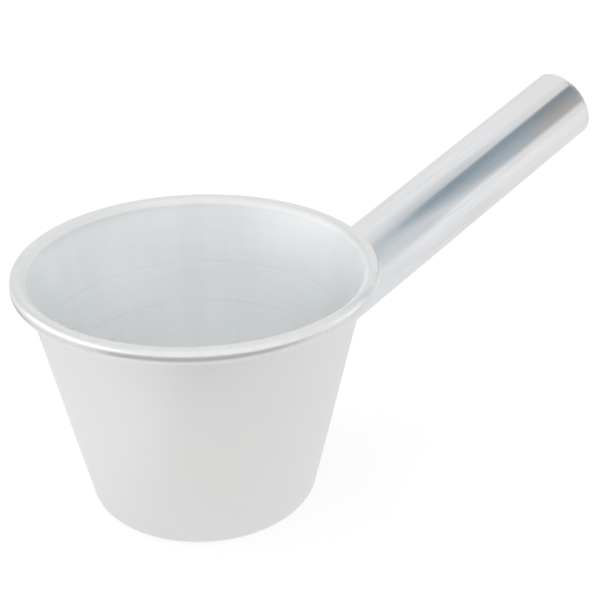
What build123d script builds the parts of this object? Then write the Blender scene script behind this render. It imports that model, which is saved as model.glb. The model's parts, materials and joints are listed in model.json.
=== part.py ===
from build123d import *
import os
from math import asin, atan2, cos, degrees, hypot, radians, sin, tan

# Ice scoop: a spun aluminium cup with a rolled rim and a straight tube handle welded to its wall.
# Frame: millimetres, +Z up, origin at the centre of the cup's flat base, handle towards +X.

# Cup
RIM_RADIUS = 81.75           # outside of the rolled rim
CUP_HEIGHT = 115.5           # base to the top of the rim
BASE_FLAT_RADIUS = 49.0      # flat part of the base
BASE_CORNER_RADIUS = 5.0     # outside corner between the base and the wall
WALL_LEAN = 11.6             # degrees that the wall leans outwards
SHEET = 1.5                  # thickness of the spun sheet

# Rolled rim, an oval hollow roll of the same sheet
FLARE_HEIGHT = 112.4         # where the inside of the wall bends outwards into the roll
FLARE_BEND_RADIUS = 2.5      # inside radius of that bend
RIM_UPPER_RADIUS = 3.1       # outside radius of the roll's upper half
RIM_BOTTOM = 107.6           # lowest point of the roll
RIM_LOWER_RADIUS = 4.15      # outside radius of the roll's lower half
CURL_GAP = 0.2               # space left between the end of the roll and the wall

# Handle
TUBE_RADIUS = 19.05          # 1 1/2 inch tube
TUBE_WALL = 1.25             # 18 gauge tube wall
HANDLE_TILT = 21.4           # degrees above the horizontal
HANDLE_AXIS_HEIGHT = 77.5    # height of the handle's axis below the outside of the rim
HANDLE_REACH = 171.6         # length of the handle beyond the outside of the rim, along its axis

# End cap, pressed from sheet and pushed into the tube
CAP_LIP = 1.8                # thickness of the cap's lip, outside the tube
CAP_EDGE_RADIUS = 1.0        # rounding of the lip's outer edge
CAP_SHEET = 1.2              # thickness of the cap's skirt and face
CAP_SKIRT = 9.0              # length of the skirt inside the tube
CAP_CLEARANCE = 0.05         # radial clearance between the skirt and the tube

# Welds
WELD_RADIUS = 3.0            # concave radius of the fillet weld around the handle
WELD_CLEARANCE = 0.02        # film left between the modelled weld and the tube
SEAM_DEPTH = 0.6             # depth of the weld that seals the cap's joint
SEAM_WIDTH = 1.0             # width of that weld on the surface

LEAN = radians(WALL_LEAN)
CORNER_CENTRE = (BASE_FLAT_RADIUS, BASE_CORNER_RADIUS)
CORNER_TOP_RADIUS = BASE_FLAT_RADIUS + BASE_CORNER_RADIUS * cos(LEAN)
CORNER_TOP_HEIGHT = BASE_CORNER_RADIUS * (1 - sin(LEAN))

TILT = radians(HANDLE_TILT)
HANDLE_DIRECTION = Vector(cos(TILT), 0, sin(TILT))
HANDLE_UNDER_RIM = Vector(RIM_RADIUS, 0, HANDLE_AXIS_HEIGHT)
ROD_START = -0.6 * RIM_RADIUS            # along the axis, well inside the cup
TUBE_END = HANDLE_REACH - CAP_LIP


def outer_wall_radius(height):
    """Radius of the wall's outside at a height."""
    return CORNER_TOP_RADIUS + (height - CORNER_TOP_HEIGHT) * tan(LEAN)


def inner_wall_radius(height):
    """Radius of the wall's inside at a height."""
    return outer_wall_radius(height) - SHEET / cos(LEAN)


def handle_plane(distance):
    """Plane across the handle, at a distance along its axis from below the rim's outside."""
    origin = HANDLE_UNDER_RIM + HANDLE_DIRECTION * distance
    return Plane(origin=origin, x_dir=(0, 1, 0), z_dir=HANDLE_DIRECTION)


def arc(centre, radius, start, end):
    """Arc in the XZ plane between two angles in degrees, counted from +X towards +Z."""
    turns = [radians(angle) for angle in (start, (start + end) / 2, end)]
    return ThreePointArc(*[
        (centre[0] + radius * cos(turn), 0, centre[1] + radius * sin(turn)) for turn in turns
    ])


def turned(outline):
    """Solid made by turning a closed outline around the vertical axis."""
    return revolve(make_face(outline), axis=Axis.Z, revolution_arc=360)


def sheet_side(depth):
    """One side of the cup's sheet, at a depth below its inner skin, from floor to rolled edge."""
    upper_centre = (RIM_RADIUS - RIM_UPPER_RADIUS, CUP_HEIGHT - RIM_UPPER_RADIUS)
    lower_centre = (RIM_RADIUS - RIM_LOWER_RADIUS, RIM_BOTTOM + RIM_LOWER_RADIUS)
    wall_by_roll = outer_wall_radius(RIM_BOTTOM) + CURL_GAP
    tuck = degrees(asin((lower_centre[0] - wall_by_roll) / RIM_LOWER_RADIUS))

    # Above the bend, a straight flare leads into the upper half of the roll and is tangent to it.
    bend_corner = (inner_wall_radius(FLARE_HEIGHT), FLARE_HEIGHT)
    rise = upper_centre[1] - bend_corner[1]
    run = upper_centre[0] - bend_corner[0]
    flare = atan2(rise, run) + asin(RIM_UPPER_RADIUS / hypot(rise, run))
    wall_normal = (cos(LEAN), -sin(LEAN))
    flare_normal = (sin(flare), -cos(flare))
    opening_out = 1 + wall_normal[0] * flare_normal[0] + wall_normal[1] * flare_normal[1]
    bend_centre = [
        corner + FLARE_BEND_RADIUS * (before + after) / opening_out
        for corner, before, after in zip(bend_corner, wall_normal, flare_normal)
    ]
    flare_turn = 90 + degrees(flare)

    corner = arc(CORNER_CENTRE, BASE_CORNER_RADIUS - SHEET + depth, -90, -WALL_LEAN)
    bend = arc(bend_centre, FLARE_BEND_RADIUS - depth, 180 - WALL_LEAN, flare_turn)
    over = arc(upper_centre, RIM_UPPER_RADIUS - depth, flare_turn, 0)
    under = arc(lower_centre, RIM_LOWER_RADIUS - depth, 0, -90 - tuck)
    return [
        Line((0, 0, SHEET - depth), corner @ 0),
        corner,
        Line(corner @ 1, bend @ 0),
        bend,
        Line(bend @ 1, over @ 0),
        over,
        Line(over @ 1, under @ 0),
        under,
    ]


def make_cup():
    """Cup spun from one sheet: floor, leaning wall and hollow rolled rim."""
    skin = sheet_side(0)
    back = sheet_side(SHEET)
    rolled_edge = Line(skin[-1] @ 1, back[-1] @ 1)
    axis_line = Line(skin[0] @ 0, back[0] @ 0)
    return turned(skin + back + [rolled_edge, axis_line])


def make_wall_envelope():
    """Solid inside the outer surface of the cup's wall, below the rolled rim."""
    outline = Polyline(
        (0, 0, CORNER_TOP_HEIGHT),
        (outer_wall_radius(CORNER_TOP_HEIGHT), 0, CORNER_TOP_HEIGHT),
        (outer_wall_radius(RIM_BOTTOM), 0, RIM_BOTTOM),
        (0, 0, RIM_BOTTOM),
        close=True,
    )
    return turned(outline)


def make_rod(radius):
    """Solid rod along the handle's axis, from inside the cup to the end of the tube."""
    return extrude(handle_plane(ROD_START) * Circle(radius), amount=TUBE_END - ROD_START)


def make_seam_ring():
    """Ring with a vee section, around the joint between the tube and the cap."""
    outline = Polyline(
        (TUBE_RADIUS, 0, -SEAM_WIDTH / 2),
        (TUBE_RADIUS, 0, SEAM_WIDTH / 2),
        (TUBE_RADIUS - SEAM_DEPTH, 0, 0),
        close=True,
    )
    return handle_plane(TUBE_END) * turned(outline)


def make_handle_tube():
    """Round tube, cut to fit the leaning wall of the cup."""
    tube = make_rod(TUBE_RADIUS) - make_rod(TUBE_RADIUS - TUBE_WALL)
    return tube - make_wall_envelope() - make_seam_ring()


def make_handle_end_cap():
    """Pressed cap: a lip as wide as the tube, and a skirt that fits inside it."""
    skirt_radius = TUBE_RADIUS - TUBE_WALL - CAP_CLEARANCE
    inner_face = CAP_LIP - CAP_SHEET
    outline = Polyline(
        (0, 0, inner_face),
        (0, 0, CAP_LIP),
        (TUBE_RADIUS, 0, CAP_LIP),
        (TUBE_RADIUS, 0, 0),
        (skirt_radius, 0, 0),
        (skirt_radius, 0, -CAP_SKIRT),
        (skirt_radius - CAP_SHEET, 0, -CAP_SKIRT),
        (skirt_radius - CAP_SHEET, 0, inner_face),
        close=True,
    )
    blank = turned(outline)
    face_edge = blank.edges().filter_by(GeomType.CIRCLE).sort_by(Axis.Z)[-1]
    return handle_plane(TUBE_END) * blank.fillet(CAP_EDGE_RADIUS, [face_edge]) - make_seam_ring()


def make_handle_weld():
    """Concave fillet weld in the corner between the tube and the cup's wall."""
    envelope = make_wall_envelope()
    rod = make_rod(TUBE_RADIUS + WELD_CLEARANCE)
    joined = envelope + rod
    joint = [edge for edge in joined.edges() if edge.geom_type not in (GeomType.LINE, GeomType.CIRCLE)]
    return joined.fillet(WELD_RADIUS, joint) - envelope - rod


def main():
    os.makedirs("parts", exist_ok=True)
    nodes = {
        "cup": make_cup(),
        "handle_tube": make_handle_tube(),
        "handle_end_cap": make_handle_end_cap(),
        "handle_weld": make_handle_weld(),
        "cap_seam_weld": make_seam_ring(),
    }
    for name, shape in nodes.items():
        export_step(shape, f"parts/{name}.step")


main()
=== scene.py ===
import json
from math import asin, atan2, cos, degrees, exp, hypot, pi, radians, sin, sqrt, tan, tau

import bmesh
import bpy
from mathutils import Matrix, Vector, noise


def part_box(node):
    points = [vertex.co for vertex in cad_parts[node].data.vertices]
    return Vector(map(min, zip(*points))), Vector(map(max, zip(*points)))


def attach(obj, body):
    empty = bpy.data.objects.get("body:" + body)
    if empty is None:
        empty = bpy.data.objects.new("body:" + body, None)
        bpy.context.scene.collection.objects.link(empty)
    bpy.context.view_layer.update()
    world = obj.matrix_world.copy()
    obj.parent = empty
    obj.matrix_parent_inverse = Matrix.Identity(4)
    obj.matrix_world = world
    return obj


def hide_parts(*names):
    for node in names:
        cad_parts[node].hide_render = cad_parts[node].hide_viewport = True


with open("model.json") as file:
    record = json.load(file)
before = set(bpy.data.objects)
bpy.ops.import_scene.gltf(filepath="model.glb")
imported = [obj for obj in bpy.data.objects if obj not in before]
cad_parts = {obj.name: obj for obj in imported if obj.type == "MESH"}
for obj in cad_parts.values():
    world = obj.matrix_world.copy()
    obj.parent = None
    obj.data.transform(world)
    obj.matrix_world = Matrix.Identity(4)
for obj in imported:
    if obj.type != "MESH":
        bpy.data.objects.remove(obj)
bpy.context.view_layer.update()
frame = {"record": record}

MM = 0.001

# ---- Sizes, in metres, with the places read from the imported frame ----

cup_low, cup_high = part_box("cup")
RIM_RADIUS = (cup_high.x - cup_low.x) / 2
CUP_HEIGHT = cup_high.z
BASE_FLAT_RADIUS = 49.0 * MM
BASE_CORNER_RADIUS = 5.0 * MM
LEAN = radians(11.6)
SHEET = 1.5 * MM
RIM_BOTTOM = 107.6 * MM
FLARE_HEIGHT = 112.4 * MM
FLARE_BEND_RADIUS = 2.5 * MM
RIM_UPPER_RADIUS = 3.1 * MM
RIM_LOWER_RADIUS = 4.15 * MM
CURL_GAP = 0.2 * MM
CORNER_TOP_RADIUS = BASE_FLAT_RADIUS + BASE_CORNER_RADIUS * cos(LEAN)
CORNER_TOP_HEIGHT = BASE_CORNER_RADIUS * (1 - sin(LEAN))

grip = next(mount for mount in frame["record"]["mounts"] if mount["name"] == "handle_grip")
HANDLE_AXIS = Vector(grip["axis"]).normalized()
HANDLE_ACROSS = Vector((0, 1, 0))
HANDLE_UP = HANDLE_AXIS.cross(HANDLE_ACROSS)
HANDLE_TILT = asin(HANDLE_AXIS.z)
TUBE_RADIUS = grip["dims"]["r_mm"] * MM
TUBE_WALL = 1.25 * MM
CAP_LIP = 1.8 * MM
CAP_EDGE_RADIUS = 1.0 * MM
CAP_SHEET = 1.2 * MM
CAP_SKIRT = 9.0 * MM
CAP_CLEARANCE = 0.05 * MM
SEAM_DEPTH = 0.6 * MM
SEAM_WIDTH = 1.0 * MM

grip_point = Vector(grip["pos_m"])
HANDLE_ORIGIN = grip_point + HANDLE_AXIS * ((RIM_RADIUS - grip_point.x) / HANDLE_AXIS.x)
cap_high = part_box("handle_end_cap")[1]
cap_edge_out = (TUBE_RADIUS - CAP_EDGE_RADIUS) * HANDLE_AXIS.z + CAP_EDGE_RADIUS
HANDLE_REACH = (cap_high.x - HANDLE_ORIGIN.x - cap_edge_out) / HANDLE_AXIS.x + CAP_EDGE_RADIUS
TUBE_END = HANDLE_REACH - CAP_LIP


def outer_wall_radius(height):
    """Radius of the wall's outside at a height."""
    return CORNER_TOP_RADIUS + (height - CORNER_TOP_HEIGHT) * tan(LEAN)


# ---- Meshes ----

def upright(radius, height, angle):
    """Point at a radius, height and angle around the cup's axis."""
    return Vector((radius * cos(angle), radius * sin(angle), height))


def along_handle(radius, distance, angle):
    """Point at a radius and angle around the handle's axis, at a distance along it."""
    across = HANDLE_ACROSS * cos(angle) + HANDLE_UP * sin(angle)
    return HANDLE_ORIGIN + HANDLE_AXIS * distance + across * radius


def turned_mesh(name, section, steps, place, sharp=35):
    """Closed mesh swept around an axis. section(angle) lists (radius, height) pairs.

    A section that starts and ends on the axis is closed there. Any other is a loop.
    """
    mesh = bmesh.new()
    rows = []
    poles = None
    for step in range(steps):
        angle = tau * step / steps
        outline = section(angle)
        on_axis = outline[0][0] == 0 and outline[-1][0] == 0
        if on_axis and poles is None:
            poles = [mesh.verts.new(place(*outline[end], 0)) for end in (0, -1)]
        inner = outline[1:-1] if on_axis else outline
        rows.append([mesh.verts.new(place(radius, height, angle)) for radius, height in inner])
    for step in range(steps):
        here, there = rows[step], rows[(step + 1) % steps]
        last = len(here) - 1
        for spot in range(last if poles else last + 1):
            after = (spot + 1) % len(here)
            mesh.faces.new((here[spot], there[spot], there[after], here[after]))
        if poles:
            mesh.faces.new((poles[0], there[0], here[0]))
            mesh.faces.new((poles[1], here[last], there[last]))
    bmesh.ops.recalc_face_normals(mesh, faces=mesh.faces)
    data = bpy.data.meshes.new(name)
    mesh.to_mesh(data)
    mesh.free()
    data.polygons.foreach_set("use_smooth", [True] * len(data.polygons))
    data.set_sharp_from_angle(angle=radians(sharp))
    piece = bpy.data.objects.new(name, data)
    bpy.context.scene.collection.objects.link(piece)
    return piece


def arc(centre, radius, start, end, count):
    """Points on an arc between two angles in degrees, counted from outwards towards up."""
    turns = [radians(start + (end - start) * step / count) for step in range(count + 1)]
    return [(centre[0] + radius * cos(turn), centre[1] + radius * sin(turn)) for turn in turns]


def line(start, end, pitch, extra=()):
    """Points between two points, evenly spaced, with extra ones at some shares of the way."""
    length = hypot(end[0] - start[0], end[1] - start[1])
    count = max(1, round(length / pitch))
    shares = sorted([step / count for step in range(1, count)] + list(extra))
    return [tuple(a + (b - a) * share for a, b in zip(start, end)) for share in shares]


def dip(distance, width):
    """Smooth groove of unit depth and the given half width."""
    return exp(-(distance / width) ** 2)


def fade(value, start, length):
    """Share that rises evenly from 0 at the start to 1 after a length."""
    return min(1, max(0, (value - start) / length))


def unevenness(angle, turns, level):
    """Smooth random number that changes slowly around an axis and with a level."""
    return noise.noise(Vector((cos(angle) * turns, sin(angle) * turns, level)))


# The cup's sheet, with the marks that spinning leaves on it.
SPIN_RINGS = (83.4 * MM, 63.4 * MM)      # heights of two witness lines on the inside
SPIN_RING_DEPTH = 0.035 * MM
SPIN_RING_WIDTH = 0.55 * MM
BASE_RINGS = (9 * MM, 17.5 * MM, 26 * MM, 34 * MM, 41 * MM)
BASE_RING_DEPTH = 0.06 * MM
BASE_RING_WIDTH = 0.7 * MM
CENTRE_MARK_RADIUS = 2.2 * MM
CENTRE_MARK_DEPTH = 0.35 * MM
WALL_PITCH = 1.35 * MM
FLOOR_PITCH = 2.2 * MM
FLARE_PITCH = 0.7 * MM
CUP_STEPS = 236


def shares_near(values, start, end, width):
    """Extra shares of the way from start to end, crowded around some values."""
    offsets = (-1.6, -0.8, 0, 0.8, 1.6)
    return [(value + offset * width - start) / (end - start) for value in values for offset in offsets]


def sheet_side(depth):
    """One side of the cup's sheet, at a depth below its inner skin, from floor to rolled edge."""
    lean_degrees = degrees(LEAN)
    upper_centre = (RIM_RADIUS - RIM_UPPER_RADIUS, CUP_HEIGHT - RIM_UPPER_RADIUS)
    lower_centre = (RIM_RADIUS - RIM_LOWER_RADIUS, RIM_BOTTOM + RIM_LOWER_RADIUS)
    tuck_reach = lower_centre[0] - outer_wall_radius(RIM_BOTTOM) - CURL_GAP
    tuck = degrees(asin(tuck_reach / RIM_LOWER_RADIUS))

    # Above the bend, a straight flare leads into the roll and is tangent to it.
    bend_corner = (outer_wall_radius(FLARE_HEIGHT) - SHEET / cos(LEAN), FLARE_HEIGHT)
    run, rise = (to - start for to, start in zip(upper_centre, bend_corner))
    flare = atan2(rise, run) + asin(RIM_UPPER_RADIUS / hypot(rise, run))
    wall_normal = (cos(LEAN), -sin(LEAN))
    flare_normal = (sin(flare), -cos(flare))
    opening_out = 1 + wall_normal[0] * flare_normal[0] + wall_normal[1] * flare_normal[1]
    bend_centre = [
        spot + FLARE_BEND_RADIUS * (before + after) / opening_out
        for spot, before, after in zip(bend_corner, wall_normal, flare_normal)
    ]
    flare_turn = 90 + degrees(flare)

    corner_centre = (BASE_FLAT_RADIUS, BASE_CORNER_RADIUS)
    corner = arc(corner_centre, BASE_CORNER_RADIUS - SHEET + depth, -90, -lean_degrees, 9)
    bend = arc(bend_centre, FLARE_BEND_RADIUS - depth, 180 - lean_degrees, flare_turn, 6)
    over = arc(upper_centre, RIM_UPPER_RADIUS - depth, flare_turn, 0, 24)
    under = arc(lower_centre, RIM_LOWER_RADIUS - depth, 0, -90 - tuck, 26)
    floor_start = (0.0, SHEET - depth)
    floor_rings = shares_near(BASE_RINGS, 0, corner[0][0], BASE_RING_WIDTH)
    mark = [CENTRE_MARK_RADIUS * share / corner[0][0] for share in (0.3, 0.6, 0.8, 0.9, 1.0, 1.1)]
    wall_rings = shares_near(SPIN_RINGS, corner[-1][1], bend[0][1], SPIN_RING_WIDTH)
    return (
        [floor_start]
        + line(floor_start, corner[0], FLOOR_PITCH, floor_rings + mark)
        + corner
        + line(corner[-1], bend[0], WALL_PITCH, wall_rings if depth == 0 else ())
        + bend
        + line(bend[-1], over[0], FLARE_PITCH)
        + over
        + under
    )


def turned_floor(radius, height, into_metal):
    """The same point with the floor's turned rings and centre mark sunk in, up or down."""
    if radius < BASE_FLAT_RADIUS and height < 2 * SHEET:
        rings = sum(dip(radius - ring, BASE_RING_WIDTH) for ring in BASE_RINGS) * BASE_RING_DEPTH
        mark = CENTRE_MARK_DEPTH * dip(radius, CENTRE_MARK_RADIUS / 2)
        return radius, height + (rings + mark) * into_metal
    return radius, height


def lined_wall(radius, height):
    """The same point with the witness lines sunk in, where it is on the wall's inside."""
    if radius < outer_wall_radius(height) - SHEET / 2:
        lines = sum(dip(height - ring, SPIN_RING_WIDTH) for ring in SPIN_RINGS)
        return radius + SPIN_RING_DEPTH * lines, height
    return radius, height


def cup_section():
    """Outline of the cup's sheet, from the middle of the floor and back to the middle of the base."""
    skin = [lined_wall(*turned_floor(radius, height, -1)) for radius, height in sheet_side(0)]
    back = [turned_floor(radius, height, 1) for radius, height in sheet_side(SHEET)]
    edge = line(skin[-1], back[-1], SHEET / 3)
    return skin + edge + back[::-1]


WAVE_DEPTH = 0.10 * MM
WAVE_SIZE = 30 * MM
WAVE_TURNS = 2.1
WAVE_START, WAVE_RISE = 6 * MM, 14 * MM      # height where the waves start, and how far they grow
WAVE_END, WAVE_FALL = 101 * MM, 16 * MM      # height where they end, and how far below it they fade


def cup_place(radius, height, angle):
    """Point of the cup, with the very slight waves of a hand-spun wall."""
    share = fade(height, WAVE_START, WAVE_RISE) * fade(WAVE_END - height, 0, WAVE_FALL)
    wave = unevenness(angle, WAVE_TURNS, height / WAVE_SIZE)
    return upright(radius, height, angle) + upright(WAVE_DEPTH * share * wave, 0, angle)


cup_outline = cup_section()
cup = turned_mesh("spun_cup", lambda angle: cup_outline, CUP_STEPS, cup_place)


# The handle's tube, its end cut to the slope of the wall.
TUBE_STEPS = 288
TUBE_OUTSIDE_STEPS = 72
TUBE_INSIDE_STEPS = 36


def wall_distance(radius, angle):
    """Distance along the handle at which a line beside its axis meets the cup's wall."""
    start = along_handle(radius, 0, angle)
    slope = tan(LEAN)
    flat_radius = CORNER_TOP_RADIUS - CORNER_TOP_HEIGHT * slope
    cone = flat_radius + start.z * slope
    a = HANDLE_AXIS.x ** 2 - (slope * HANDLE_AXIS.z) ** 2
    b = 2 * (start.x * HANDLE_AXIS.x - cone * slope * HANDLE_AXIS.z)
    c = start.x ** 2 + start.y ** 2 - cone ** 2
    return (-b + sqrt(b * b - 4 * a * c)) / (2 * a)


def between(start, end, count):
    """Evenly spaced values from start to end, both included."""
    return [start + (end - start) * step / count for step in range(count + 1)]


def tube_section(angle):
    """Section of the tube's wall at an angle, from the saddle cut to the square end and back."""
    inside = TUBE_RADIUS - TUBE_WALL
    outer_end = TUBE_END - SEAM_WIDTH / 2
    outer = between(wall_distance(TUBE_RADIUS, angle), outer_end, TUBE_OUTSIDE_STEPS)
    inner = between(TUBE_END, wall_distance(inside, angle), TUBE_INSIDE_STEPS)
    vee_bottom = (TUBE_RADIUS - SEAM_DEPTH, TUBE_END)
    return [(TUBE_RADIUS, spot) for spot in outer] + [vee_bottom] + [(inside, spot) for spot in inner]


TUBE_WAVE_DEPTH = 0.035 * MM
TUBE_WAVE_SIZE = 38 * MM
TUBE_WAVE_TURNS = 1.2
TUBE_WAVE_FALL = 12 * MM             # how far from the tube's end the waves fade


def tube_place(radius, distance, angle):
    """Point of the tube, drawn very slightly uneven."""
    share = fade(TUBE_END - distance, 0, TUBE_WAVE_FALL)
    wave = unevenness(angle, TUBE_WAVE_TURNS, distance / TUBE_WAVE_SIZE)
    return along_handle(radius - TUBE_WAVE_DEPTH * share * (0.5 + wave), distance, angle)


tube = turned_mesh("polished_tube", tube_section, TUBE_STEPS, tube_place)


# The pressed cap in the end of the tube.
CAP_DISH = 0.12 * MM                 # how far the middle of the face is set back
CAP_RING_RADIUS = 12.5 * MM          # shallow ring pressed into the face
CAP_RING_DEPTH = 0.10 * MM
CAP_RING_WIDTH = 2.2 * MM
CAP_MARK_DEPTH = 0.3 * MM            # centre mark of the lathe
CAP_MARK_WIDTH = 1.1 * MM
CAP_FACE_PITCH = 0.8 * MM
CAP_SKIRT_PITCH = 1.5 * MM
CAP_BACK_PITCH = 3 * MM
EDGE_BREAK = 0.15 * MM               # chamfer of the skirt's end


def cap_section():
    """Outline of the cap, from the middle of its face to the middle of its back."""
    edge_centre = (TUBE_RADIUS - CAP_EDGE_RADIUS, HANDLE_REACH - CAP_EDGE_RADIUS)
    edge = arc(edge_centre, CAP_EDGE_RADIUS, 90, 0, 10)
    face_centre = (0.0, HANDLE_REACH - CAP_DISH)
    face = []
    for radius, height in [face_centre] + line(face_centre, edge[0], CAP_FACE_PITCH):
        ring = CAP_RING_DEPTH * dip(radius - CAP_RING_RADIUS, CAP_RING_WIDTH)
        mark = CAP_MARK_DEPTH * dip(radius, CAP_MARK_WIDTH)
        face.append((radius, height - ring - mark))
    skirt = TUBE_RADIUS - TUBE_WALL - CAP_CLEARANCE
    skirt_inside = skirt - CAP_SHEET
    skirt_end = TUBE_END - CAP_SKIRT
    back_height = HANDLE_REACH - CAP_SHEET
    inside_corner = arc((skirt_inside - CAP_SHEET, back_height - CAP_SHEET), CAP_SHEET, 0, 90, 6)
    lip = [
        (TUBE_RADIUS, TUBE_END + SEAM_WIDTH / 2),
        (TUBE_RADIUS - SEAM_DEPTH, TUBE_END),
        (skirt, TUBE_END),
    ]
    return (
        face
        + edge
        + lip
        + line((skirt, TUBE_END), (skirt, skirt_end), CAP_SKIRT_PITCH)
        + [(skirt, skirt_end + EDGE_BREAK), (skirt - EDGE_BREAK, skirt_end)]
        + [(skirt_inside + EDGE_BREAK, skirt_end), (skirt_inside, skirt_end + EDGE_BREAK)]
        + inside_corner
        + line(inside_corner[-1], (0, back_height), CAP_BACK_PITCH)
        + [(0.0, back_height)]
    )


cap_outline = cap_section()
cap = turned_mesh("pressed_end_cap", lambda angle: cap_outline, TUBE_STEPS, along_handle)


# The fillet weld between the handle and the wall: a row of overlapping ripples.
WELD_LEG = 3.1 * MM
WELD_TOP_EXTRA = 0.16                # share by which the leg is longer at the top of the handle
WELD_UNEVENNESS = 0.07               # share by which it varies at random
WELD_HOLLOW = 0.45                   # share of the way that the bead's middle is pulled to its root
WELD_ROOT_DEPTH = 0.3 * MM           # how far the bead's hidden corner reaches into the tube
WELD_WALL_DEPTH = 0.2 * MM           # and into the wall
WELD_SKIN = 0.04 * MM                # how far its edges are sunk into the tube and the wall
WELD_RIPPLES = 76
WELD_RIPPLE_HEIGHT = 0.16 * MM
WELD_RIPPLE_SWEEP = 1.5              # phase by which a ripple bends in its middle, in radians
WELD_RIPPLE_WANDER = 0.8             # and by which it strays at random
WELD_STEPS = WELD_RIPPLES * 8
WELD_ACROSS = 14


def weld_section(angle):
    """Section of the bead at an angle, as (radius, distance) pairs around the handle's axis."""
    uneven = unevenness(angle, 3, 4.2)
    leg = WELD_LEG * (1 + WELD_TOP_EXTRA * sin(angle) + WELD_UNEVENNESS * uneven)
    root_radius = TUBE_RADIUS - WELD_ROOT_DEPTH
    corner = (root_radius, wall_distance(root_radius, angle) - WELD_WALL_DEPTH)
    on_tube = (TUBE_RADIUS - WELD_SKIN, wall_distance(TUBE_RADIUS, angle) + leg)
    on_wall = (TUBE_RADIUS + leg, wall_distance(TUBE_RADIUS + leg, angle) - WELD_SKIN)
    root = (TUBE_RADIUS, wall_distance(TUBE_RADIUS, angle))
    middle = tuple((a + b) / 2 for a, b in zip(on_tube, on_wall))
    pull = tuple(m + (r - m) * WELD_HOLLOW for m, r in zip(middle, root))
    out = Vector((middle[0] - root[0], middle[1] - root[1])).normalized()
    points = []
    for step in range(WELD_ACROSS + 1):
        share = step / WELD_ACROSS
        bow = 1 - (2 * share - 1) ** 2
        phase = WELD_RIPPLES * angle + WELD_RIPPLE_SWEEP * bow + WELD_RIPPLE_WANDER * uneven
        ripple = WELD_RIPPLE_HEIGHT * bow * (0.5 + 0.5 * sin(phase)) ** 1.5
        weights = ((1 - share) ** 2, 2 * share * (1 - share), share ** 2)
        spot = [sum(w * p[axis] for w, p in zip(weights, (on_tube, pull, on_wall))) for axis in (0, 1)]
        points.append((spot[0] + out.x * ripple, spot[1] + out.y * ripple))
    return points + [corner]


weld = turned_mesh("rippled_fillet_weld", weld_section, WELD_STEPS, along_handle, sharp=60)


# The weld that seals the cap, filed almost flush.
SEAM_STEPS = 432
SEAM_SUNK = 0.05 * MM                # depth of its edges below the tube's surface
SEAM_CROWN = 0.6                     # share of that depth by which its middle rises
SEAM_SKIN = 0.01 * MM                # further depth of its whole surface
SEAM_GAP = 0.02 * MM                 # space left at each side of the vee
SEAM_FOOT_GAP = 0.05 * MM            # space left at the bottom of the vee
SEAM_WANDER = 0.015 * MM             # how far it wanders along the handle


def seam_section(angle):
    """Section of the dressed weld at an angle."""
    wander = SEAM_WANDER * unevenness(angle, 6, 1.3)
    half = SEAM_WIDTH / 2 - SEAM_GAP
    top = []
    for share in (-1, -0.6, -0.2, 0.2, 0.6, 1):
        sunk = SEAM_SUNK * (1 - SEAM_CROWN * cos(pi * share / 2)) + SEAM_SKIN
        top.append((TUBE_RADIUS - sunk, TUBE_END + half * share + wander))
    return top + [(TUBE_RADIUS - SEAM_DEPTH + SEAM_FOOT_GAP, TUBE_END)]


seam = turned_mesh("dressed_seam_weld", seam_section, SEAM_STEPS, along_handle, sharp=50)


# ---- Materials ----

def direction(azimuth, elevation):
    """Unit vector at an azimuth from +X towards +Y and an elevation, both in degrees."""
    azimuth, elevation = radians(azimuth), radians(elevation)
    return Vector((cos(azimuth) * cos(elevation), sin(azimuth) * cos(elevation), sin(elevation)))


def node(tree, kind, settings=None, inputs=None):
    """New node. Each input is a constant, or the socket that feeds it."""
    made = tree.nodes.new(kind)
    for key, value in (settings or {}).items():
        setattr(made, key, value)
    for key, value in (inputs or {}).items():
        if isinstance(value, bpy.types.NodeSocket):
            tree.links.new(value, made.inputs[key])
        else:
            made.inputs[key].default_value = value
    return made


def number(tree, operation, *values):
    """Result of a Math node."""
    return node(tree, "ShaderNodeMath", {"operation": operation}, dict(enumerate(values))).outputs[0]


def total(tree, *values):
    """Sum of several numbers."""
    result = values[0]
    for value in values[1:]:
        result = number(tree, "ADD", result, value)
    return result


def product(tree, *values):
    """Product of several numbers."""
    result = values[0]
    for value in values[1:]:
        result = number(tree, "MULTIPLY", result, value)
    return result


def vector(tree, operation, *values):
    """Result of a Vector Math node: a number for a length or a dot product, else a vector."""
    made = node(tree, "ShaderNodeVectorMath", {"operation": operation}, dict(enumerate(values)))
    return made.outputs["Value" if operation in ("LENGTH", "DOT_PRODUCT") else "Vector"]


def stretched(tree, place, x, y, z):
    """Coordinates multiplied axis by axis, which makes a pattern finer along the larger ones."""
    return vector(tree, "MULTIPLY", place, (x, y, z))


def ramp(tree, value, low, high, to_low=0.0, to_high=1.0, smooth=True):
    """Value carried from one range to another and held at its ends."""
    settings = {"interpolation_type": "SMOOTHSTEP" if smooth else "LINEAR", "clamp": True}
    inputs = {0: value, 1: low, 2: high, 3: to_low, 4: to_high}
    return node(tree, "ShaderNodeMapRange", settings, inputs).outputs[0]


def band(tree, value, rise, fall):
    """Share that rises from 0 to 1 over one range of a value and falls back over a later one."""
    return product(tree, ramp(tree, value, *rise), ramp(tree, value, *fall, 1.0, 0.0))


def blend(tree, share, first, second):
    """Mix of two colours."""
    inputs = {0: share, 6: first, 7: second}
    return node(tree, "ShaderNodeMix", {"data_type": "RGBA"}, inputs).outputs[2]


def scaled(tree, colour, factor):
    """Colour made brighter or darker."""
    return node(tree, "ShaderNodeVectorMath", {"operation": "SCALE"}, {0: colour, 3: factor}).outputs[0]


def cloud(tree, coordinates, w=0.0, scale=1.0, detail=2.0, rough=0.5):
    """Smooth random pattern, from 0 to 1, at some coordinates."""
    inputs = {"Vector": coordinates, "W": w, "Scale": scale, "Detail": detail, "Roughness": rough}
    return node(tree, "ShaderNodeTexNoise", {"noise_dimensions": "4D"}, inputs).outputs[0]


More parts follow.
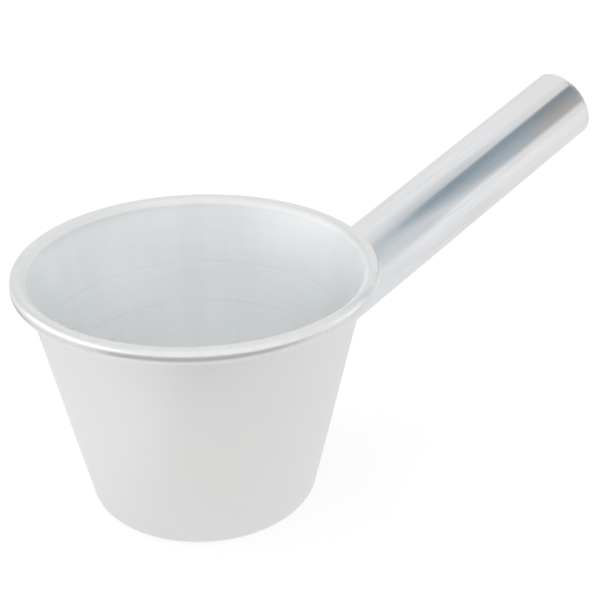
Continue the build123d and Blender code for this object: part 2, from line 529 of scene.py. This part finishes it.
def set_surface(tree, shader, output="ShaderNodeOutputMaterial"):
    """Make a shader the surface of a material, or of the world if the output is the world's."""
    node(tree, output, None, {"Surface": shader.outputs[0]})


def new_material(name):
    """New material with no nodes yet, as (material, tree)."""
    material = bpy.data.materials.new(name)
    material.use_nodes = True
    material.node_tree.nodes.clear()
    return material, material.node_tree


def new_metal(name):
    """New material with a metal shader, as (material, tree, shader)."""
    material, tree = new_material(name)
    shader = node(tree, "ShaderNodeBsdfPrincipled", None, {"Metallic": 1.0})
    set_surface(tree, shader)
    return material, tree, shader


def set_metal(tree, shader, colour, roughness, relief, depth):
    """Colour and roughness of a shader, and its small relief, of a depth in metres."""
    tree.links.new(colour, shader.inputs["Base Color"])
    tree.links.new(roughness, shader.inputs["Roughness"])
    bump = node(tree, "ShaderNodeBump", None, {"Strength": 1.0, "Distance": depth, "Height": relief})
    tree.links.new(bump.outputs[0], shader.inputs["Normal"])


def handle_coordinates(tree):
    """Place on the handle, turned so that X runs out along its axis."""
    place = node(tree, "ShaderNodeTexCoord").outputs["Object"]
    local = vector(tree, "SUBTRACT", place, tuple(HANDLE_ORIGIN))
    inputs = {"Vector": local, "Angle": HANDLE_TILT}
    return node(tree, "ShaderNodeVectorRotate", {"rotation_type": "Y_AXIS"}, inputs).outputs[0]


# Each surface drifts between two close shades.
OUTSIDE_SHADES = (0.855, 0.865, 0.87, 1), (0.875, 0.87, 0.86, 1)
# The inside's shades are brighter than the outside's: painted light standing in for the light inside the
# cup.
INSIDE_LIFTED_SHADES = (0.90, 0.925, 0.925, 1), (0.922, 0.921, 0.922, 1)
WITNESS_LINE_SHADE = (0.80, 0.815, 0.82, 1)
# Near the cup the tube is painted cooler and towards its end warmer: tints that stand in for the colours
# of its reflections.
TUBE_NEAR_COOL_TINTS = (0.875, 0.887, 0.90, 1), (0.89, 0.893, 0.897, 1)
TUBE_FAR_WARM_TINTS = (0.862, 0.86, 0.85, 1), (0.88, 0.872, 0.855, 1)
CAP_SHADES = (0.87, 0.88, 0.89, 1), (0.89, 0.89, 0.89, 1)
WELD_SHADES = (0.86, 0.865, 0.87, 1), (0.74, 0.745, 0.75, 1)

BURNISH_START, BURNISH_FULL = 5.2 * MM, 4.0 * MM     # inwards from the outside of the rim
LINE_CORE, LINE_EDGE = 0.1 * MM, 0.7 * MM            # from the middle of a witness line
FAN_START, FAN_FULL = 2 * MM, 20 * MM                # heights on the inside of the wall
FLARE_DULLS_FROM = 3 * MM                            # this far below the flare
FINE_RING_PITCH = 0.45 * MM
SPIN_BAND_PITCH = 5 * MM
SPUN_RELIEF = 0.004 * MM
DRAWN_RELIEF = 0.004 * MM
CAP_RING_PITCH = 0.35 * MM
CAP_RELIEF = 0.003 * MM
WELD_RELIEF = 0.01 * MM


def spun_metal():
    """Satin aluminium with the fine lines and soft bands of spinning, around the cup's axis.

    The inside is cleaner and duller than the outside, and painted a little brighter, a lift that stands
    in for light inside the cup. The roll of the rim is burnished and mottled.
    """
    material, tree, shader = new_metal("spun_aluminium_looks")
    place = node(tree, "ShaderNodeTexCoord").outputs["Object"]
    flat = stretched(tree, place, 1, 1, 0)
    around = vector(tree, "NORMALIZE", flat)
    radius = vector(tree, "LENGTH", flat)
    height = node(tree, "ShaderNodeSeparateXYZ", None, {0: place}).outputs[2]

    def rings(pitch, turns, detail):
        """Pattern that changes quickly across the rings and slowly around them."""
        across = number(tree, "DIVIDE", radius, pitch)
        level = node(tree, "ShaderNodeCombineXYZ", None, {2: across}).outputs[0]
        spot = vector(tree, "ADD", stretched(tree, around, turns, turns, turns), level)
        return cloud(tree, spot, number(tree, "DIVIDE", height, pitch), detail=detail)

    def spokes(turns, w):
        """Pattern that changes only around the axis."""
        return cloud(tree, stretched(tree, around, turns, turns, turns), w=w, detail=2.0)

    fine = rings(FINE_RING_PITCH, 1.5, 2.0)
    bands = rings(SPIN_BAND_PITCH, 0.8, 3.0)
    patches = cloud(tree, place, scale=24.0, detail=3.0)
    blotches = cloud(tree, place, w=5.0, scale=46.0, detail=1.0)
    specks = cloud(tree, place, scale=900.0, detail=2.0)
    mottle = cloud(tree, place, w=3.0, scale=240.0, detail=1.0)

    # Shares of the inside, above the middle of the sheet, and of the burnished roll.
    middle = number(tree, "MULTIPLY_ADD", height, tan(LEAN), outer_wall_radius(0) - SHEET / 2)
    past_middle = number(tree, "SUBTRACT", radius, middle)
    inwards = ramp(tree, past_middle, -0.2 * SHEET, 0.2 * SHEET, 1.0, 0.0)
    inside = product(tree, inwards, ramp(tree, height, 0.3 * SHEET, 0.7 * SHEET))
    burnish = ramp(tree, radius, RIM_RADIUS - BURNISH_START, RIM_RADIUS - BURNISH_FULL)

    tone = total(tree, product(tree, patches, 0.75), product(tree, bands, 0.25))
    outside_colour = blend(tree, ramp(tree, tone, 0.3, 0.7), *OUTSIDE_SHADES)
    # The inside's colour is lifted above the outside's: painted light for the light inside the cup.
    lifted_inside_colour = blend(tree, ramp(tree, blotches, 0.35, 0.65), *INSIDE_LIFTED_SHADES)
    up_wall = ramp(tree, height, FAN_START, FAN_FULL)
    fan = ramp(tree, spokes(4.5, 2.0), 0.3, 0.7, -0.015, 0.01)
    lifted_inside_colour = scaled(tree, lifted_inside_colour, number(tree, "MULTIPLY_ADD", up_wall, fan, 1.0))
    line_wear = ramp(tree, spokes(3, 9.0), 0.35, 0.6)
    for ring in SPIN_RINGS:
        gap = number(tree, "ABSOLUTE", number(tree, "SUBTRACT", height, ring))
        mark = product(tree, ramp(tree, gap, LINE_CORE, LINE_EDGE, 0.42, 0.0), line_wear)
        lifted_inside_colour = blend(tree, mark, lifted_inside_colour, WITNESS_LINE_SHADE)
    flecks = product(tree, burnish, ramp(tree, mottle, 0.35, 0.65, -0.018, 0.014))
    grain = total(tree, ramp(tree, fine, 0.2, 0.8, 0.985, 1.01), flecks)
    colour = scaled(tree, blend(tree, inside, outside_colour, lifted_inside_colour), grain)

    inside_dull = ramp(tree, height, FLARE_HEIGHT - FLARE_DULLS_FROM, FLARE_HEIGHT, 0.12, 0.27)
    satin = total(
        tree,
        ramp(tree, bands, 0.3, 0.7, 0.29, 0.33),
        ramp(tree, patches, 0.35, 0.7, 0.0, 0.05),
        ramp(tree, specks, 0.55, 0.8, 0.0, 0.05),
        product(tree, inside, inside_dull),
    )
    burnished = total(
        tree,
        ramp(tree, bands, 0.3, 0.7, 0.26, 0.30),
        ramp(tree, mottle, 0.35, 0.65, 0.04, -0.01),
    )
    inputs = {0: burnish, 2: satin, 3: burnished}
    roughness = node(tree, "ShaderNodeMix", {"data_type": "FLOAT"}, inputs).outputs[0]
    relief = total(tree, product(tree, fine, 0.25), bands, product(tree, burnish, mottle, 1.2))
    set_metal(tree, shader, colour, roughness, relief, SPUN_RELIEF)
    return material


def tube_metal():
    """Polished aluminium with fine lines along the handle, duller and scratched towards the cup, painted
    cooler near the cup and warmer towards its end to stand in for the colours of its reflections.
    """
    material, tree, shader = new_metal("polished_tube_looks")
    turned = handle_coordinates(tree)
    along = node(tree, "ShaderNodeSeparateXYZ", None, {0: turned}).outputs[0]
    hair = cloud(tree, stretched(tree, turned, 25, 2600, 2600))
    draw = cloud(tree, stretched(tree, turned, 12, 420, 420))
    smudge = cloud(tree, turned, scale=38.0, detail=3.0)

    # Marks of handling start at different places around the tube.
    shift = vector(tree, "DOT_PRODUCT", turned, (0, 300, 220))
    stagger = node(tree, "ShaderNodeCombineXYZ", None, {0: shift}).outputs[0]
    scratch_place = vector(tree, "ADD", stretched(tree, turned, 34, 1500, 1500), stagger)
    streak_place = vector(tree, "ADD", stretched(tree, turned, 42, 520, 520), stagger)
    scratches = ramp(tree, cloud(tree, scratch_place, w=3.0, detail=1.0), 0.62, 0.72)
    streaks = ramp(tree, cloud(tree, streak_place, w=7.0), 0.35, 0.65, -0.04, 0.02)
    handled = product(tree, ramp(tree, along, 0.0, 0.05), ramp(tree, along, 0.08, 0.16, 1.0, 0.25))

    drift = ramp(tree, smudge, 0.3, 0.7)
    near, far = (blend(tree, drift, *shades) for shades in (TUBE_NEAR_COOL_TINTS, TUBE_FAR_WARM_TINTS))
    # Cool near the cup, warm towards the end: painted reflection tints.
    colour = blend(tree, ramp(tree, along, 0.11, 0.165), near, far)
    colour = scaled(tree, colour, number(tree, "MULTIPLY_ADD", streaks, handled, 1.0))
    roughness = total(
        tree,
        ramp(tree, along, 0.0, 0.095, 0.33, 0.10),
        ramp(tree, smudge, 0.35, 0.7, 0.0, 0.05),
        ramp(tree, draw, 0.3, 0.7, 0.0, 0.03),
        product(tree, scratches, handled, 0.22),
    )
    relief = total(tree, product(tree, hair, 0.25), draw)
    set_metal(tree, shader, colour, roughness, relief, DRAWN_RELIEF)
    shader.inputs["Anisotropic"].default_value = 0.25
    return material


def cap_metal():
    """Polished aluminium with fine turned rings around the handle's axis."""
    material, tree, shader = new_metal("polished_cap_looks")
    turned = handle_coordinates(tree)
    across = stretched(tree, turned, 0, 1, 1)
    radius = vector(tree, "LENGTH", across)
    around = vector(tree, "NORMALIZE", across)
    rings = cloud(tree, around, number(tree, "DIVIDE", radius, CAP_RING_PITCH))
    smudge = cloud(tree, turned, scale=70.0, detail=3.0)
    colour = blend(tree, ramp(tree, smudge, 0.3, 0.7), *CAP_SHADES)
    roughness = total(
        tree,
        ramp(tree, rings, 0.3, 0.7, 0.15, 0.21),
        ramp(tree, smudge, 0.4, 0.7, 0.0, 0.08),
    )
    set_metal(tree, shader, colour, roughness, rings, CAP_RELIEF)
    return material


def weld_metal():
    """Brushed-over weld: duller, and darker in places."""
    material, tree, shader = new_metal("weld_metal_looks")
    place = node(tree, "ShaderNodeTexCoord").outputs["Object"]
    grit = cloud(tree, place, scale=1500.0, detail=3.0)
    soot = cloud(tree, place, scale=160.0, detail=3.0)
    colour = blend(tree, ramp(tree, soot, 0.35, 0.75), *WELD_SHADES)
    roughness = total(
        tree,
        ramp(tree, soot, 0.3, 0.7, 0.34, 0.46),
        ramp(tree, grit, 0.4, 0.7, 0.0, 0.08),
    )
    set_metal(tree, shader, colour, roughness, grit, WELD_RELIEF)
    return material


welded = weld_metal()
for piece, cad_node, slot, material in (
    (cup, "cup", "spun_aluminium", spun_metal()),
    (tube, "handle_tube", "polished_tube", tube_metal()),
    (cap, "handle_end_cap", "polished_cap", cap_metal()),
    (weld, "handle_weld", "weld_metal", welded),
    (seam, "cap_seam_weld", "weld_metal", welded),
):
    piece.data.materials.append(material)
    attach(piece, "root")
    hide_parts(cad_node)


# ---- Floor, light and camera ----

FLOOR_HALF_WIDTH = 20.0
FLOOR_DROP = 0.05 * MM               # the floor lies this far below the base
REFLECTED_FLOOR_RISE = 0.3 * MM      # and its stand-in for reflections this far above the base
FLOOR_SHADE = 0.38
FLOOR_GLOW = 0.69

# Azimuths of the studio, in degrees. The front is where the camera stands.
FRONT = -123
LEFT = 147
BARE_SIDE = 156                      # where the reflected floor's dim zones thin out


def grey(level, blue=0.0):
    """Opaque grey, with a little more blue if asked."""
    return (level, level, level + blue, 1)


def make_plane(name, corners):
    """Flat four-cornered object."""
    data = bpy.data.meshes.new(name)
    data.from_pydata(corners, [], [(0, 1, 2, 3)])
    plane = bpy.data.objects.new(name, data)
    bpy.context.scene.collection.objects.link(plane)
    return plane


def floor_corners(height):
    """Corners of the wide floor at a height."""
    half = FLOOR_HALF_WIDTH
    return [(-half, -half, height), (half, -half, height), (half, half, height), (-half, half, height)]


def only_in_reflections(thing):
    """Leave a thing to reflections alone, and start its material, as (tree, place)."""
    thing.visible_camera = False
    thing.visible_diffuse = False
    thing.visible_shadow = False
    material, tree = new_material(thing.name)
    thing.data.materials.append(material)
    return tree, node(tree, "ShaderNodeTexCoord").outputs["Object"]


def make_floor():
    """Wide pale floor, a hair below the base."""
    floor = make_plane("studio_floor", floor_corners(-FLOOR_DROP))
    material = bpy.data.materials.new("pale_floor")
    material.use_nodes = True
    shader = material.node_tree.nodes["Principled BSDF"]
    shader.inputs["Base Color"].default_value = grey(FLOOR_SHADE)
    shader.inputs["Roughness"].default_value = 0.9
    shader.inputs["Specular IOR Level"].default_value = 0.0
    shader.inputs["Emission Color"].default_value = grey(1)
    shader.inputs["Emission Strength"].default_value = FLOOR_GLOW
    floor.data.materials.append(material)


def make_reflected_floor():
    """What the metal sees of the lit table: pale, and a little dimmer towards the front.

    It has two dim zones, one from past the front of the cup on, and part of a ring at its left.
    Both thin out around one azimuth near the left.
    """
    card = make_plane("reflected_floor", floor_corners(REFLECTED_FLOOR_RISE))
    tree, place = only_in_reflections(card)
    front = vector(tree, "DOT_PRODUCT", place, tuple(direction(FRONT, 0)))
    left = vector(tree, "DOT_PRODUCT", place, tuple(direction(LEFT, 0)))
    distance = vector(tree, "LENGTH", place)
    outwards = vector(tree, "NORMALIZE", place)
    heading = vector(tree, "DOT_PRODUCT", outwards, tuple(direction(BARE_SIDE, 0)))

    past_front = product(tree, ramp(tree, front, 0.155, 0.20), ramp(tree, left, -0.62, -0.42))
    ring = band(tree, distance, (0.18, 0.22), (0.26, 0.31))
    left_ring = product(tree, ring, ramp(tree, left, 0.02, 0.12))
    dim = number(tree, "MAXIMUM", past_front, left_ring)
    dim = product(tree, dim, ramp(tree, heading, 0.82, 0.91, 1.0, 0.25))

    near_shade, far_shade = (0.41, 0.43, 0.455, 1), (0.66, 0.665, 0.67, 1)
    dim_shade = blend(tree, ramp(tree, distance, 0.22, 0.8), near_shade, far_shade)
    shade = blend(tree, ramp(tree, front, 0.02, 0.10), grey(0.80, 0.005), (0.775, 0.77, 0.765, 1))
    shade = blend(tree, ramp(tree, left, 0.01, 0.10), shade, grey(0.87, 0.005))
    shade = blend(tree, ramp(tree, distance, 0.30, 0.60), shade, grey(0.88, 0.005))
    shade = blend(tree, dim, shade, dim_shade)
    set_surface(tree, node(tree, "ShaderNodeEmission", None, {"Color": shade, "Strength": 1.0}))


FLAG_SIDE = direction(-57, 48)       # side of the handle that the flag is on
FLAG_DISTANCE = 0.08                 # from the handle's axis
FLAG_START, FLAG_END = -0.03, 0.36   # along the handle
FLAG_TOP, FLAG_FOOT = -0.16, 0.12    # across it
FLAG_TURN_GREY = (0.15, 0.20)        # along the handle, where its blue gives way to grey


def make_flag():
    """Dark flag beside the handle, to the camera's right and above, which only reflections show.

    It is close to the handle, so that the rest of the metal hardly sees it. Its edges are soft, and
    it thins out towards the cup.
    """
    out = (FLAG_SIDE - HANDLE_AXIS * FLAG_SIDE.dot(HANDLE_AXIS)).normalized()
    down = HANDLE_AXIS.cross(out)
    start = HANDLE_ORIGIN + out * FLAG_DISTANCE
    near, far = (start + HANDLE_AXIS * along for along in (FLAG_START, FLAG_END))
    high, low = down * FLAG_TOP, down * FLAG_FOOT
    corners = [near + high, far + high, far + low, near + low]
    flag = make_plane("handle_flag", corners)
    tree, place = only_in_reflections(flag)
    local = vector(tree, "SUBTRACT", place, tuple(start))
    along = vector(tree, "DOT_PRODUCT", local, tuple(HANDLE_AXIS))
    across = vector(tree, "DOT_PRODUCT", local, tuple(down))

    # The core starts further out along the handle the lower it is. Halos soften its two edges.
    core = band(tree, across, (-0.050, -0.030), (0.038, 0.080))
    upper_halo = band(tree, across, (-0.135, -0.045), (0.0, 0.02))
    upper_halo = product(tree, upper_halo, ramp(tree, along, 0.12, 0.20, 0.40, 0.14))
    lower_halo = product(tree, ramp(tree, across, 0.0, 0.02), ramp(tree, across, 0.045, 0.115, 0.22, 0.0))
    share = number(tree, "MAXIMUM", core, number(tree, "MAXIMUM", upper_halo, lower_halo))
    slant = product(tree, number(tree, "MAXIMUM", number(tree, "ADD", across, 0.015), 0.0), 1.1)
    share = product(tree, share, ramp(tree, number(tree, "SUBTRACT", along, slant), -0.02, 0.105))

    # A thin part keeps a faint band next to the cup.
    thin = product(
        tree,
        band(tree, across, (-0.050, -0.030), (0.055, 0.095)),
        ramp(tree, along, -0.03, 0.03, 0.0, 0.57),
        ramp(tree, along, 0.09, 0.13, 1.0, 0.0),
    )
    share = number(tree, "MAXIMUM", share, thin)
    share = product(tree, share, ramp(tree, along, 0.30, FLAG_END, 1.0, 0.0))

    turned_grey = ramp(tree, along, *FLAG_TURN_GREY)
    top = blend(tree, turned_grey, (0.265, 0.33, 0.38, 1), (0.26, 0.29, 0.325, 1))
    foot = blend(tree, turned_grey, (0.44, 0.49, 0.52, 1), (0.44, 0.43, 0.43, 1))
    shade = blend(tree, ramp(tree, across, -0.020, 0.032, smooth=False), top, foot)
    glow = node(tree, "ShaderNodeEmission", None, {"Color": shade, "Strength": 1.0}).outputs[0]
    clear = node(tree, "ShaderNodeBsdfTransparent").outputs[0]
    set_surface(tree, node(tree, "ShaderNodeMixShader", None, {0: share, 1: clear, 2: glow}))


# Soft-edged cards in the surroundings, in degrees: azimuth, half width and softness of the sides,
# then the lower edge and the upper edge, each with its softness. Last comes the shade.
STUDIO_CARDS = (
    ((FRONT, 60, 25, 3, 6, 80, 12), grey(0.95, 0.01)),       # bright and tall, behind the camera
    ((115, 28, 10, 0, 5, 42, 12), grey(0.76, 0.01)),         # dim, at the back left
    ((-112, 42, 12, -10, 5, 0, 4), grey(0.72, 0.01)),        # dim, along the front horizon
    ((-23, 14, 8, 4, 6, 26, 6), grey(1.12, 0.01)),           # bright, low at the right
    ((155, 32, 12, 2, 6, 28, 8), grey(1.7, 0.02)),           # brightest, low at the left
)
WORLD_LOW, WORLD_HIGH = grey(0.80, 0.005), grey(0.86, 0.005)
WORLD_SEEN = grey(0.98)              # what the camera sees past the floor
HIGH_ELEVATION = 35.0                # where the low shade has turned into the high one, in degrees


def make_surroundings():
    """Pale studio all round, with soft-edged brighter and dimmer cards."""
    world = bpy.data.worlds.new("studio")
    bpy.context.scene.world = world
    world.use_nodes = True
    tree = world.node_tree
    tree.nodes.clear()
    sky = node(tree, "ShaderNodeTexCoord").outputs["Generated"]
    height = node(tree, "ShaderNodeSeparateXYZ", None, {0: sky}).outputs[2]
    elevation = number(tree, "DEGREES", number(tree, "ARCSINE", height))

    def card(azimuth, half_width, soft_side, low, soft_low, high, soft_high):
        """Share of one card."""
        ahead = vector(tree, "DOT_PRODUCT", sky, tuple(direction(azimuth, 0)))
        aside = vector(tree, "DOT_PRODUCT", sky, tuple(direction(azimuth + 90, 0)))
        turn = number(tree, "ABSOLUTE", number(tree, "DEGREES", number(tree, "ARCTAN2", aside, ahead)))
        side = ramp(tree, turn, half_width - soft_side, half_width + soft_side, 1.0, 0.0)
        lower, upper = (low - soft_low, low + soft_low), (high - soft_high, high + soft_high)
        return product(tree, side, band(tree, elevation, lower, upper))

    colour = blend(tree, ramp(tree, elevation, 0.0, HIGH_ELEVATION), WORLD_LOW, WORLD_HIGH)
    for edges, shade in STUDIO_CARDS:
        colour = blend(tree, card(*edges), colour, shade)

    # Light lost inside the cup, past the renderer's four glossy bounces, is made up on the last ones.
    light_path = node(tree, "ShaderNodeLightPath")
    strength = ramp(tree, light_path.outputs["Glossy Depth"], 1.7, 4.0, 1.0, 1.62, smooth=False)
    colour = blend(tree, light_path.outputs["Is Camera Ray"], colour, WORLD_SEEN)
    back = node(tree, "ShaderNodeBackground", None, {"Color": colour, "Strength": strength})
    set_surface(tree, back, "ShaderNodeOutputWorld")


SOFTBOX_SIDE = direction(100, 68)
SOFTBOX_SIZE = 1.2
SOFTBOX_DISTANCE = 2.0
SOFTBOX_POWER = 3.0


def make_softbox():
    """Large soft light overhead, which gives the floor its faint shadow."""
    data = bpy.data.lights.new("overhead_softbox", "AREA")
    data.shape = "RECTANGLE"
    data.size, data.size_y = SOFTBOX_SIZE, SOFTBOX_SIZE
    data.energy = SOFTBOX_POWER
    light = bpy.data.objects.new("overhead_softbox", data)
    light.location = SOFTBOX_SIDE * SOFTBOX_DISTANCE
    light.rotation_mode = "QUATERNION"
    light.rotation_quaternion = SOFTBOX_SIDE.to_track_quat("Z", "Y")
    light.visible_glossy = False
    bpy.context.scene.collection.objects.link(light)


CAMERA_PLACE = (-0.26017, -0.40063, 0.33855)
CAMERA_LOOKS = direction(51.494, -27.01)
CAMERA_LENS = 71.06                  # millimetres
CAMERA_SENSOR = 36.0                 # millimetres


def make_camera():
    """Camera at the height, distance and heading of the usual product view."""
    data = bpy.data.cameras.new("camera")
    data.lens = CAMERA_LENS
    data.sensor_width = CAMERA_SENSOR
    camera = bpy.data.objects.new("camera", data)
    camera.location = CAMERA_PLACE
    camera.rotation_mode = "QUATERNION"
    camera.rotation_quaternion = CAMERA_LOOKS.to_track_quat("-Z", "Y")
    bpy.context.scene.collection.objects.link(camera)
    bpy.context.scene.camera = camera


make_floor()
make_reflected_floor()
make_flag()
make_surroundings()
make_softbox()
make_camera()
bpy.context.scene.view_settings.view_transform = "Standard"
